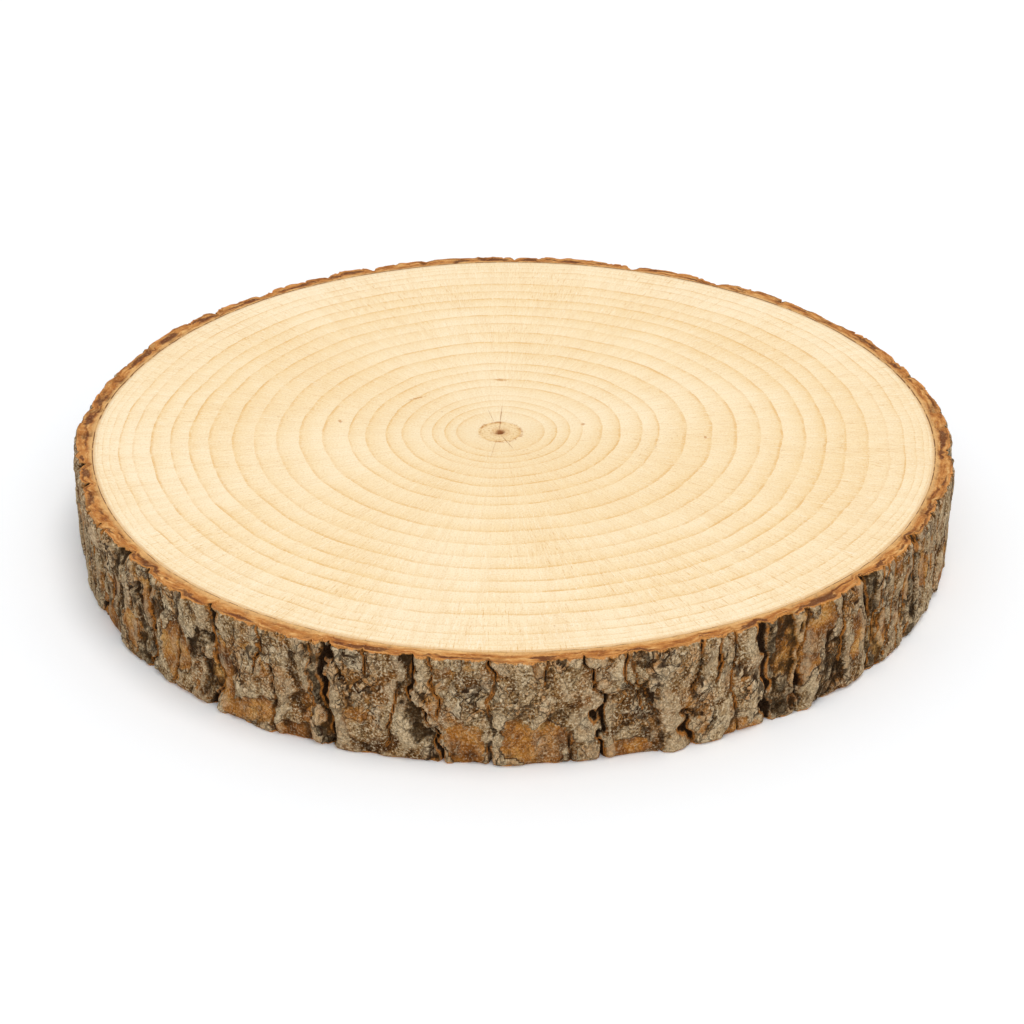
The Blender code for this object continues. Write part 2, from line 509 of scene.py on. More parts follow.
# Rows of the end grain from the bark to the pith, as shares of the way out from the pith, with how
# many columns of the rim each one keeps.
GRAIN_ROWS = (
    (0.9975, 1), (0.985, 2), (0.95, 4), (0.87, 4), (0.77, 4), (0.67, 4), (0.57, 4), (0.47, 4), (0.37, 4),
    (0.29, 4), (0.235, 4), (0.19, 4), (0.155, 4), (0.125, 4), (0.1, 4), (0.08, 4), (0.063, 4),
    (0.05, 8), (0.039, 8), (0.03, 8), (0.023, 8), (0.0175, 8), (0.013, 8), (0.0095, 16), (0.006, 16),
    (0.003, 16),
)

# Hairline cracks out from the pith: direction in degrees from +X, from and to in metres, darkness.
PITH_CHECKS = (
    (87.0, 0.002, 0.026, 1.0),
    (102.0, 0.008, 0.026, 0.7),
    (262.0, 0.005, 0.027, 0.6),
    (292.0, 0.002, 0.017, 1.0),
    (159.0, 0.009, 0.023, 0.45),
    (228.0, 0.0085, 0.015, 0.4),
)
CHECK_DEPTH = 0.0003
PITH_HOLLOW = (0.0021, 0.0016)  # half width and half length of the hollow
PITH_HOLLOW_DEPTH = 0.0028
UNDER_HOLLOW_DEPTH = 0.00168
CAMBIUM_GROOVE = 0.00035


def wood_radius(azimuth):
    """The edge of the wood, following the outline more smoothly than the bark does."""
    turn = np.radians(azimuth)
    around = np.stack([np.cos(turn) * 3.0, np.sin(turn) * 3.0, np.zeros_like(turn)], axis=-1)
    shifted = WOOD_MIDDLE[0] * np.sin(turn) - WOOD_MIDDLE[1] * np.cos(turn)
    return WOOD_RADIUS + shifted + 0.8 * outline_wander(azimuth) + 0.0004 * rough_noise(around, 120, 3)


def face_of_bark(builder, rim, rim_xy, azimuth, top):
    """The sawn ring of bark on one face, from the arris in to the wood. Returns the last row."""
    sign = 1.0 if top else -1.0
    level = CAD_HIGH.z if top else CAD_LOW.z
    wood = wood_radius(azimuth)
    turn = np.radians(azimuth)
    outward = np.stack([np.sin(turn), -np.cos(turn)], axis=-1)
    outer = np.linalg.norm(rim_xy, axis=-1)
    last = rim
    seed = 130 if top else 140
    for share in BAND_SHARES:
        radius = wood + share * (outer - wood)
        place = np.concatenate([outward * radius[:, None], np.full((len(radius), 1), level)], axis=1)
        pit = smooth_step(0.15, 0.75, rough_noise(place / 0.0045, seed, 3))
        sunk = 0.00012 + 0.00022 * (0.5 + 0.5 * rough_noise(place / 0.0016, seed + 3, 2)) + 0.0007 * pit
        place[:, 2] -= sign * sunk
        row = builder.row(place, ring=1.0, band=share, tone=pit, side=sign)
        builder.band(last, row, INNER_BARK, not top)
        last = row
    around = np.stack([turn * 40, turn * 0, turn * 0], axis=-1)
    broken = 0.4 + 0.6 * smooth_step(-0.3, 0.3, smooth_noise(around, seed + 7))
    for offset, sunk, share in ((0.0004, 0.00005, 0.07), (0.0, CAMBIUM_GROOVE, 0.0)):
        xy = outward * (wood + offset)[:, None]
        place = np.concatenate([xy, (level - sign * sunk * broken)[:, None]], axis=1)
        row = builder.row(place, ring=1.0, band=share, side=sign)
        builder.band(last, row, INNER_BARK, not top)
        last = row
    return last


def checks_at(from_pith):
    """How far open the hairline cracks are at a row of places, given from the pith."""
    away = np.linalg.norm(from_pith, axis=-1)
    direction = np.degrees(np.arctan2(from_pith[:, 1], from_pith[:, 0]))
    check = np.zeros(len(from_pith))
    for middle, start, end, strength in PITH_CHECKS:
        turned = np.abs(turn_between(middle, direction))
        column = turned <= turned.min() + 1e-6
        fall = smooth_step(end * 0.5, end, away)
        along = smooth_step(start - 0.001, start + 0.001, away) * (1.0 - fall)
        check = np.maximum(check, column * along * strength)
    return check


def end_grain(builder, last, azimuth, top):
    """One sawn face of the wood, from the bark in to the pith."""
    sign = 1.0 if top else -1.0
    level = CAD_HIGH.z if top else CAD_LOW.z
    deepest = PITH_HOLLOW_DEPTH if top else UNDER_HOLLOW_DEPTH
    turn = np.radians(azimuth)
    edge = np.stack([np.sin(turn), -np.cos(turn)], axis=-1) * wood_radius(azimuth)[:, None]
    pith = np.array(PITH)
    for share, skip in GRAIN_ROWS:
        from_pith = (edge[::skip] - pith) * share
        check = checks_at(from_pith)
        hollow = 1.0 - smooth_step(0.35, 1.0, np.linalg.norm(from_pith / PITH_HOLLOW, axis=-1))
        sunk = CHECK_DEPTH * check + deepest * hollow
        place = np.concatenate([pith + from_pith, (level - sign * sunk)[:, None]], axis=1)
        row = builder.row(place, ring=share, check=check, side=sign)
        builder.band(last, row, WOOD, not top)
        last = row
    middle = builder.row(np.array([[*PITH, level - sign * deepest]]), ring=0.0, side=sign)[0]
    builder.fan(last, middle, WOOD, not top)


def side_levels():
    """Heights of the rim's rows, close together at both sawn edges."""
    inner = np.linspace(EDGE_TO_ROWS, THICKNESS - EDGE_TO_ROWS, SIDE_ROWS)
    low = np.array(EDGE_LEVELS)
    return np.concatenate([low, inner, THICKNESS - low[::-1]])


def fit_to_cad(points):
    """Scales and moves the points so that their box is the CAD's."""
    low, high = points.min(axis=0), points.max(axis=0)
    cad_low, cad_high = np.array(CAD_LOW), np.array(CAD_HIGH)
    for axis in (0, 1):
        share = (cad_high[axis] - cad_low[axis]) / (high[axis] - low[axis])
        points[:, axis] = cad_low[axis] + (points[:, axis] - low[axis]) * share
    return points


def lay_out(mesh, points, side_faces):
    """A UV map for the export: the rim in strips along the bottom, and the two sawn faces above them."""
    corner = np.empty(len(mesh.loops), np.int32)
    mesh.loops.foreach_get("vertex_index", corner)
    sizes = np.empty(len(mesh.polygons), np.int32)
    mesh.polygons.foreach_get("loop_total", sizes)
    face = np.repeat(np.arange(len(sizes)), sizes)
    place = points[corner]
    on_side = face < side_faces
    column = face % COLUMNS
    strip = column // STRIP_COLUMNS
    along = corner % COLUMNS
    along = np.where(along < column, along + COLUMNS, along) - strip * STRIP_COLUMNS
    side_u = STRIP_GAP + (1.0 - 2.0 * STRIP_GAP) * along / STRIP_COLUMNS
    up = (place[:, 2] - CAD_LOW.z) / THICKNESS
    side_v = STRIP_GAP + strip * (STRIP_HEIGHT + STRIP_GAP) + STRIP_HEIGHT * up
    reach_out = max(CAD_HIGH.x, CAD_HIGH.y)
    middle_height = np.add.reduceat(place[:, 2], np.cumsum(sizes) - sizes) / sizes
    faces_up = np.repeat(middle_height, sizes) > CAD_LOW.z + THICKNESS / 2
    half = np.where(faces_up, UPPER_DISC[2], UNDER_DISC[2])
    turned = np.where(faces_up, 1.0, -1.0)
    disc_u = np.where(faces_up, UPPER_DISC[0], UNDER_DISC[0]) + turned * half * place[:, 0] / reach_out
    disc_v = np.where(faces_up, UPPER_DISC[1], UNDER_DISC[1]) + half * place[:, 1] / reach_out
    layout = np.stack([np.where(on_side, side_u, disc_u), np.where(on_side, side_v, disc_v)], axis=-1)
    layer = mesh.uv_layers.new(name="OFBake")
    layer.data.foreach_set("uv", layout.astype(np.float32).ravel())


def add_rim(builder, azimuth, levels):
    """The outer bark. Returns its rows, from the bottom up."""
    grid_azimuth, grid_level = np.meshgrid(azimuth, levels)
    radius, fields = bark_surface(grid_azimuth, grid_level)
    turn = np.radians(azimuth)
    rows = []
    for k, level in enumerate(levels):
        height = np.full(COLUMNS, CAD_LOW.z + level)
        xyz = np.stack([radius[k] * np.sin(turn), -radius[k] * np.cos(turn), height], axis=-1)
        row_fields = {name: values[k] for name, values in fields.items()}
        rows.append(builder.row(xyz, ring=1.1, band=1.0, **row_fields))
    for lower, upper in zip(rows, rows[1:]):
        builder.band(lower, upper, OUTER_BARK)
    return rows


def add_object(name, data):
    """Puts an object that shows the data into the scene."""
    made = bpy.data.objects.new(name, data)
    bpy.context.scene.collection.objects.link(made)
    return made


def build_slice():
    """The whole slice as one closed mesh, still without its materials."""
    azimuth = np.arange(COLUMNS) * 360.0 / COLUMNS
    levels = side_levels()
    builder = Builder()
    rows = add_rim(builder, azimuth, levels)
    for number, top in ((len(rows) - 1, True), (0, False)):
        rim_xy = builder.points[number][:, :2]
        last = face_of_bark(builder, rows[number], rim_xy, azimuth, top)
        end_grain(builder, last, azimuth, top)
    points = fit_to_cad(np.concatenate(builder.points))
    mesh = bpy.data.meshes.new(PIECE_NAME)
    mesh.from_pydata(points.tolist(), [], builder.faces)
    mesh.polygons.foreach_set("material_index", builder.materials)
    for name in Builder.FIELDS:
        layer = mesh.attributes.new(name, "FLOAT", "POINT")
        layer.data.foreach_set("value", np.concatenate(builder.fields[name]).astype(np.float32))
    lay_out(mesh, points, (len(levels) - 1) * COLUMNS)
    mesh.shade_smooth()
    mesh.update()
    return add_object(PIECE_NAME, mesh)


# ---------------- materials


def display(red, green, blue):
    """A colour given as it shows on a screen, 0 to 255, as the linear values that shaders take."""
    linear = []
    for value in (red, green, blue):
        share = value / 255.0
        linear.append(share / 12.92 if share <= 0.04045 else ((share + 0.055) / 1.055) ** 2.4)
    return (*linear, 1.0)


# The mix node's sockets for colours, whose names its other modes share.
MIX_COLOURS, MIX_RESULT = (6, 7), 2


class Shader:
    """A material's node tree, with a short way to add each kind of node it uses."""

    def __init__(self, name, roughness, specular):
        self.material = bpy.data.materials.new(name)
        self.material.use_nodes = True
        self.tree = self.material.node_tree
        self.surface = self.tree.nodes["Principled BSDF"]
        self.surface.inputs["Roughness"].default_value = roughness
        self.surface.inputs["Specular IOR Level"].default_value = specular
        self.place = self.add("TexCoord").outputs["Object"]

    def add(self, kind, inputs=None, **settings):
        node = self.tree.nodes.new("ShaderNode" + kind)
        for key, value in settings.items():
            setattr(node, key, value)
        for key, value in (inputs or {}).items():
            self.feed(node.inputs[key], value)
        return node

    def feed(self, socket, value):
        if isinstance(value, bpy.types.NodeSocket):
            self.tree.links.new(value, socket)
        elif value is not None:
            socket.default_value = value

    def math(self, operation, first, second=None, third=None, clamp=False):
        node = self.add("Math", operation=operation, use_clamp=clamp)
        for socket, value in zip(node.inputs, (first, second, third)):
            self.feed(socket, value)
        return node.outputs[0]

    def times(self, first, second):
        return self.math("MULTIPLY", first, second)

    def total(self, *terms):
        """The sum of values, each given with its weight."""
        (value, weight), *rest = terms
        total = self.times(value, weight)
        for value, weight in rest:
            total = self.math("MULTIPLY_ADD", value, weight, total)
        return total

    def vector(self, operation, first, second=None, scale=None):
        node = self.add("VectorMath", operation=operation)
        self.feed(node.inputs[0], first)
        self.feed(node.inputs[1], second)
        if scale is not None:
            self.feed(node.inputs["Scale"], scale)
        return node.outputs["Value"] if operation == "LENGTH" else node.outputs["Vector"]

    def stretch(self, x, y, z):
        return self.vector("MULTIPLY", self.place, (x, y, z))

    def field(self, name):
        return self.add("Attribute", attribute_name=name).outputs["Fac"]

    def noise(self, vector, scale, detail=3.0, roughness=0.5, distortion=0.0):
        values = {"Vector": vector, "Scale": scale, "Detail": detail, "Roughness": roughness}
        return self.add("TexNoise", {**values, "Distortion": distortion}).outputs["Fac"]

    def warped(self, vector, scale, amount):
        """The vector moved about by noise, by up to the amount."""
        moved = self.add("TexNoise", {"Vector": vector, "Scale": scale, "Detail": 3.0})
        centred = self.vector("SUBTRACT", moved.outputs["Color"], (0.5, 0.5, 0.5))
        return self.vector("ADD", vector, self.vector("SCALE", centred, scale=amount * 2.0))

    def lapped(self, vector, scale):
        """Scales that lap over each other: each one's number from 0 to 1, the gap to the next, and how
        far this scale is above it."""
        values = {"Vector": vector, "Scale": scale}
        near = self.add("TexVoronoi", values, feature="F1").outputs
        far = self.add("TexVoronoi", values, feature="F2").outputs
        gap = self.math("SUBTRACT", far["Distance"], near["Distance"])
        own = self.add("SeparateColor", {"Color": near["Color"]}).outputs[0]
        other = self.add("SeparateColor", {"Color": far["Color"]}).outputs[0]
        return own, gap, self.math("SUBTRACT", own, other)

    def spread(self, value, low, high, to_low=0.0, to_high=1.0, smooth=True):
        """The value's stretch from low to high, as to_low to to_high, and held beyond."""
        node = self.add("MapRange", interpolation_type="SMOOTHSTEP" if smooth else "LINEAR")
        for key, number in (
            ("Value", value), ("From Min", low), ("From Max", high), ("To Min", to_low), ("To Max", to_high)
        ):
            self.feed(node.inputs[key], number)
        return node.outputs["Result"]

    def ramp(self, value, stops):
        """Colours, given as they show on a screen, along the value's way from 0 to 1."""
        node = self.add("ValToRGB", {"Fac": value})
        elements = node.color_ramp.elements
        while len(elements) < len(stops):
            elements.new(0.5)
        for element, (position, colour) in zip(elements, stops):
            element.position = position
            element.color = display(*colour)
        return node.outputs["Color"]

    def mix(self, share, first, second):
        """Two colours mixed; one that is given as numbers is as it shows on a screen."""
        node = self.add("Mix", data_type="RGBA")
        self.feed(node.inputs["Factor"], share)
        for socket, colour in zip(MIX_COLOURS, (first, second)):
            self.feed(node.inputs[socket], display(*colour) if isinstance(colour, tuple) else colour)
        return node.outputs[MIX_RESULT]

    def bump(self, height, distance, strength=1.0, under=None):
        values = {"Height": height, "Distance": distance, "Strength": strength, "Normal": under}
        return self.add("Bump", values).outputs["Normal"]

    def finish(self, colour, roughness, normal):
        self.feed(self.surface.inputs["Base Color"], colour)
        self.feed(self.surface.inputs["Roughness"], roughness)
        self.feed(self.surface.inputs["Normal"], normal)
        return self.material


# The outer edge of each year's ring, as a share of the way from the pith to the bark.
RING_EDGES = (
    0.052, 0.107, 0.135, 0.165, 0.193, 0.241, 0.281, 0.331, 0.371, 0.437, 0.495, 0.552, 0.607, 0.658,
    0.714, 0.762, 0.808, 0.858, 0.902, 0.936, 0.96, 0.978, 0.99,
)


def ring_age(shader, share):
    """The tree's age where this wood grew, in years: one more at each ring's edge."""
    node = shader.add("FloatCurve", {"Value": share})
    curve = node.mapping.curves[0]
    years = len(RING_EDGES) + 1
    curve.points[0].location = (0.0, 0.0)
    curve.points[1].location = (1.0, 1.0)
    for number, edge in enumerate(RING_EDGES):
        curve.points.new(edge, (number + 1) / years)
    for point in curve.points:
        point.handle_type = "VECTOR"
    node.mapping.update()
    return shader.math("MULTIPLY", node.outputs["Value"], float(years))


def fleck(s, flat, centre, half_size, turned):
    """A small dark fleck in the grain: 1 inside, 0 outside, with a ragged edge."""
    place = s.add(
        "Mapping",
        {"Vector": flat, "Location": (*centre, 0.0), "Rotation": (0, 0, turned), "Scale": (*half_size, 1.0)},
        vector_type="TEXTURE",
    ).outputs[0]
    away = s.vector("LENGTH", place)
    ragged = s.math("MULTIPLY_ADD", s.noise(flat, 900.0, 3.0, 0.7), 2.2, away)
    return s.spread(ragged, 1.5, 2.0, 1.0, 0.0)


# Small flecks in the upper face: middle, from the pith, then half length, half width and turn.
FLECKS = (
    ((0.000, 0.041), (0.003, 0.0013), 0.0),
    ((-0.03, 0.026), (0.0042, 0.0008), 0.5),
    ((0.029, 0.006), (0.0012, 0.001), 0.2),
    ((-0.056, 0.008), (0.001, 0.0016), 0.3),
    ((0.071, -0.004), (0.0007, 0.0012), 0.4),
)


def wood_rings(s, flat):
    """The year rings: the thin line that ends each, the late wood inside it, and the share of the way
    out. Their waves are slow, middling and quick ones together."""
    waves = ((14.0, 0.034), (48.0, 0.013), (210.0, 0.0045))
    wave = s.total(*((s.math("SUBTRACT", s.noise(flat, scale, 2.0), 0.5), size) for scale, size in waves))
    fade = s.spread(s.field("ring"), 0.02, 0.3)
    share = s.math("MULTIPLY_ADD", wave, fade, s.field("ring"))
    age = ring_age(s, share)
    phase = s.math("FRACT", age)
    own = s.add("TexWhiteNoise", {"W": s.math("FLOOR", age)}, noise_dimensions="1D")
    year = own.outputs["Value"]
    rise = s.spread(phase, 0.8, 0.95)
    line = s.times(rise, s.spread(phase, 0.975, 1.0, 1.0, 0.0))
    along = s.spread(s.noise(flat, 110.0, 5.0, 0.7), 0.4, 0.58, 0.05, 1.0)
    along = s.times(along, s.spread(s.noise(flat, 19.0, 2.0), 0.38, 0.6, 0.5, 1.0))
    line = s.times(line, s.times(along, s.math("MULTIPLY_ADD", year, 0.5, 0.5)))
    late = s.math("POWER", s.spread(phase, 0.15, 0.92, smooth=False), 1.6)
    soft_end = s.spread(phase, 0.975, 1.0, 1.0, 0.35)
    late = s.times(s.times(late, soft_end), s.math("MULTIPLY_ADD", year, 0.55, 0.45))
    return line, late, share


def wood_rays(s, flat, pith):
    """Streaks that run out from the pith: broad soft ones, and thin ones that break up into dashes."""
    from_pith = s.vector("SUBTRACT", flat, pith)
    away = s.vector("LENGTH", from_pith)
    direction = s.vector("NORMALIZE", from_pith)
    slow = s.add("CombineXYZ", {"Z": s.times(away, 7.0)}).outputs[0]
    dashed = s.add("CombineXYZ", {"Z": s.times(away, 45.0)}).outputs[0]
    broad = s.noise(s.vector("ADD", s.vector("SCALE", direction, scale=9.0), slow), 5.0, 4.0, 0.6)
    thin = s.noise(s.vector("ADD", s.vector("SCALE", direction, scale=60.0), dashed), 5.0, 4.0, 0.65)
    return away, broad, thin


def pith_marks(s, flat, away, colour):
    wobble = s.math("MULTIPLY_ADD", s.math("SUBTRACT", s.noise(flat, 260.0, 3.0), 0.5), 0.0024, away)
    disc = s.spread(wobble, 0.0066, 0.0082, 1.0, 0.0)
    rim = s.times(s.spread(wobble, 0.0064, 0.0074), s.spread(wobble, 0.0075, 0.0083, 1.0, 0.0))
    broken = s.spread(s.noise(flat, 420.0, 3.0, 0.7), 0.44, 0.6)
    speck = s.spread(s.noise(flat, 1300.0, 3.0, 0.65), 0.46, 0.66)
    colour = s.mix(s.times(disc, 0.22), colour, (244, 208, 146))
    colour = s.mix(s.times(s.times(disc, speck), 0.5), colour, (204, 152, 86))
    colour = s.mix(s.times(s.times(rim, broken), 0.8), colour, (184, 116, 44))
    stain = s.spread(wobble, 0.002, 0.0046, 1.0, 0.0)
    colour = s.mix(s.times(stain, 0.4), colour, (212, 152, 76))
    hole = s.spread(wobble, 0.0008, 0.0022, 1.0, 0.0)
    colour = s.mix(s.times(hole, 0.9), colour, (142, 78, 24))
    dashes = s.spread(s.noise(flat, 700.0, 2.0), 0.34, 0.56, 0.45, 1.0)
    check = s.times(s.spread(s.field("check"), 0.22, 0.85), dashes)
    return s.mix(s.times(check, 0.92), colour, (168, 98, 36))


def wood_material():
    """Sanded end grain."""
    s = Shader("end_grain", 0.6, 0.25)
    pith = (PITH[0], PITH[1], 0.0)
    flat = s.stretch(1.0, 1.0, 0.0)
    line, late, share = wood_rings(s, flat)
    away, broad_rays, thin_rays = wood_rays(s, flat, pith)

    cream = (252, 230, 189)
    tan = (244, 210, 152)
    pale = (255, 238, 206)
    colour = s.mix(s.times(late, 0.98), cream, tan)
    cloud = s.noise(flat, 12.0, 4.0, 0.6)
    colour = s.mix(s.spread(cloud, 0.42, 0.66, 0.0, 0.42), colour, tan)
    colour = s.mix(s.spread(cloud, 0.5, 0.32, 0.0, 0.4), colour, pale)
    colour = s.mix(s.spread(share, 0.8, 0.92, 0.0, 0.22), colour, pale)
    colour = s.mix(s.spread(broad_rays, 0.4, 0.68, 0.0, 0.3), colour, (238, 203, 150))
    patch = s.spread(s.noise(flat, 24.0, 2.0), 0.38, 0.58, 0.25, 1.0)
    dark_ray = s.times(s.spread(thin_rays, 0.56, 0.7), patch)
    colour = s.mix(s.times(dark_ray, 0.86), colour, (222, 170, 98))
    colour = s.mix(s.spread(thin_rays, 0.46, 0.3, 0.0, 0.8), colour, (255, 242, 216))
    colour = s.mix(s.times(line, 0.84), colour, (229, 178, 104))

    # Pores, and a scatter of small scuffs.
    grain = s.noise(flat, 1500.0, 3.0, 0.7)
    colour = s.mix(s.spread(grain, 0.5, 0.72, 0.0, 0.48), colour, (222, 180, 122))
    colour = s.mix(s.spread(grain, 0.5, 0.28, 0.0, 0.52), colour, (255, 242, 216))
    scuff_place = s.spread(s.noise(flat, 30.0, 2.0), 0.6, 0.7)
    scuff = s.times(s.spread(s.noise(flat, 520.0, 3.0, 0.65), 0.58, 0.68), scuff_place)
    colour = s.mix(s.times(scuff, 0.5), colour, (206, 156, 96))
    upper = s.spread(s.field("side"), -0.5, 0.5)
    for (x, y), half_size, turned in FLECKS:
        spot = fleck(s, flat, (PITH[0] + x, PITH[1] + y), half_size, turned)
        spot = s.times(s.times(spot, upper), 0.62)
        colour = s.mix(spot, colour, (192, 122, 44))

    colour = pith_marks(s, flat, away, colour)
    colour = s.mix(s.spread(s.field("ring"), 0.99, 0.9985, 0.0, 0.6), colour, (216, 168, 108))

    # The underside keeps its saw marks and is a little dirtier.
    under = s.spread(s.field("side"), -0.5, 0.5, 1.0, 0.0)
    tilted = s.vector("MULTIPLY", s.place, (0.97, 0.24, 0.0))
    saw = {"Vector": tilted, "Scale": 95.0, "Distortion": 3.0, "Detail": 2.0, "Detail Scale": 0.6}
    stripe = s.add("TexWave", saw).outputs["Fac"]
    marks = s.times(under, s.spread(stripe, 0.2, 0.9, 0.0, 0.16))
    colour = s.mix(marks, colour, (200, 158, 108))

    rough = s.math("MULTIPLY_ADD", s.noise(flat, 70.0, 3.0), 0.16, 0.5)
    rough = s.math("MULTIPLY_ADD", line, -0.06, rough)
    fibre = s.total((grain, 0.8), (thin_rays, 0.6), (line, 0.5), (s.times(under, stripe), 0.9))
    return s.finish(colour, rough, s.bump(fibre, 0.00014, 0.8))


def inner_bark_material():
    """The sawn ring of bark on both faces."""
    s = Shader("sawn_bark", 0.75, 0.2)
    band = s.field("band")
    flat = s.stretch(1.0, 1.0, 0.3)
    direction = s.vector("NORMALIZE", s.stretch(1.0, 1.0, 0.0))
    jog = s.math("MULTIPLY_ADD", s.math("SUBTRACT", s.noise(flat, 130.0, 4.0, 0.6), 0.5), 0.4, band)

    # Layers that follow the rim, and long darker corky lenses in them.
    layers_at = s.add("CombineXYZ", {"Z": jog}).outputs[0]
    layers = s.noise(s.vector("ADD", s.vector("SCALE", direction, scale=6.0), layers_at), 4.0, 4.0, 0.6)
    lenses_at = s.add("CombineXYZ", {"Z": s.times(jog, 0.4)}).outputs[0]
    lenses = s.noise(s.vector("ADD", s.vector("SCALE", direction, scale=3.4), lenses_at), 3.6, 3.0, 0.55)
    grit = s.noise(flat, 1300.0, 3.0, 0.7)
    colour = s.ramp(
        layers,
        (
            (0.3, (140, 78, 30)),
            (0.45, (186, 118, 54)),
            (0.56, (208, 144, 76)),
            (0.68, (232, 180, 112)),
        ),
    )
    inward = s.spread(jog, 0.4, 0.1, 0.0, 0.7)
    colour = s.mix(inward, colour, (236, 190, 126))
    middle = s.times(s.spread(jog, 0.3, 0.46), s.spread(jog, 0.92, 0.8))
    lens = s.times(middle, s.spread(lenses, 0.5, 0.57))
    colour = s.mix(s.times(lens, 0.86), colour, (98, 50, 20))
    colour = s.mix(s.times(s.field("tone"), 0.8), colour, (84, 44, 18))
    colour = s.mix(s.spread(jog, 0.9, 1.02, 0.0, 0.9), colour, (232, 156, 84))
    colour = s.mix(s.spread(grit, 0.5, 0.72, 0.0, 0.3), colour, (136, 80, 36))
    colour = s.mix(s.spread(grit, 0.46, 0.28, 0.0, 0.28), colour, (246, 204, 146))
    dashes = s.spread(s.noise(flat, 240.0, 3.0), 0.4, 0.52, 0.25, 1.0)
    cambium = s.times(s.spread(band, 0.1, 0.02, 0.0, 1.0), dashes)
    colour = s.mix(s.times(cambium, 0.92), colour, (100, 54, 24))
    height = s.total((layers, 0.9), (grit, 0.5))
    rough = s.math("MULTIPLY_ADD", grit, 0.2, 0.62)
    return s.finish(colour, rough, s.bump(height, 0.0007, 0.9))


def flake_shadows_and_lips(s, gap, above, width, shadow_most, lip_highlight_most):
    """Painted shadow, a dark line where a flake passes under the next one, and a pale lip where it passes
    over it, partly a worn edge and partly painted highlight.
    """
    line = s.times(s.spread(gap, 0.0, width, 1.0, 0.0), s.spread(above, 0.05, -0.45, 0.0, shadow_most))
    beside = s.spread(gap, width * 0.4, width * 2.2, 1.0, 0.0)
    return line, s.times(beside, s.spread(above, 0.05, 0.5, 0.0, lip_highlight_most))


def bark_colour(s, place, mottle, flake, chip):
    """Grey-brown scales, each with its own tone, the upper ones paler."""
    broad = s.noise(place, 55.0, 3.0, 0.55)
    fields = ((s.field("lap"), 0.13), (s.field("chip"), 0.1), (s.field("tone"), 0.06))
    blend = s.total((broad, 0.24), (flake, 0.17), (chip, 0.12), (mottle, 0.32), *fields)
    colour = s.ramp(
        blend,
        (
            (0.36, (82, 48, 17)),
            (0.46, (120, 82, 39)),
            (0.55, (150, 114, 68)),
            (0.65, (180, 149, 107)),
            (0.78, (218, 193, 156)),
        ),
    )
    warm = s.spread(s.noise(place, 85.0, 3.0), 0.48, 0.62, 0.0, 0.5)
    return s.mix(warm, colour, (164, 106, 48))


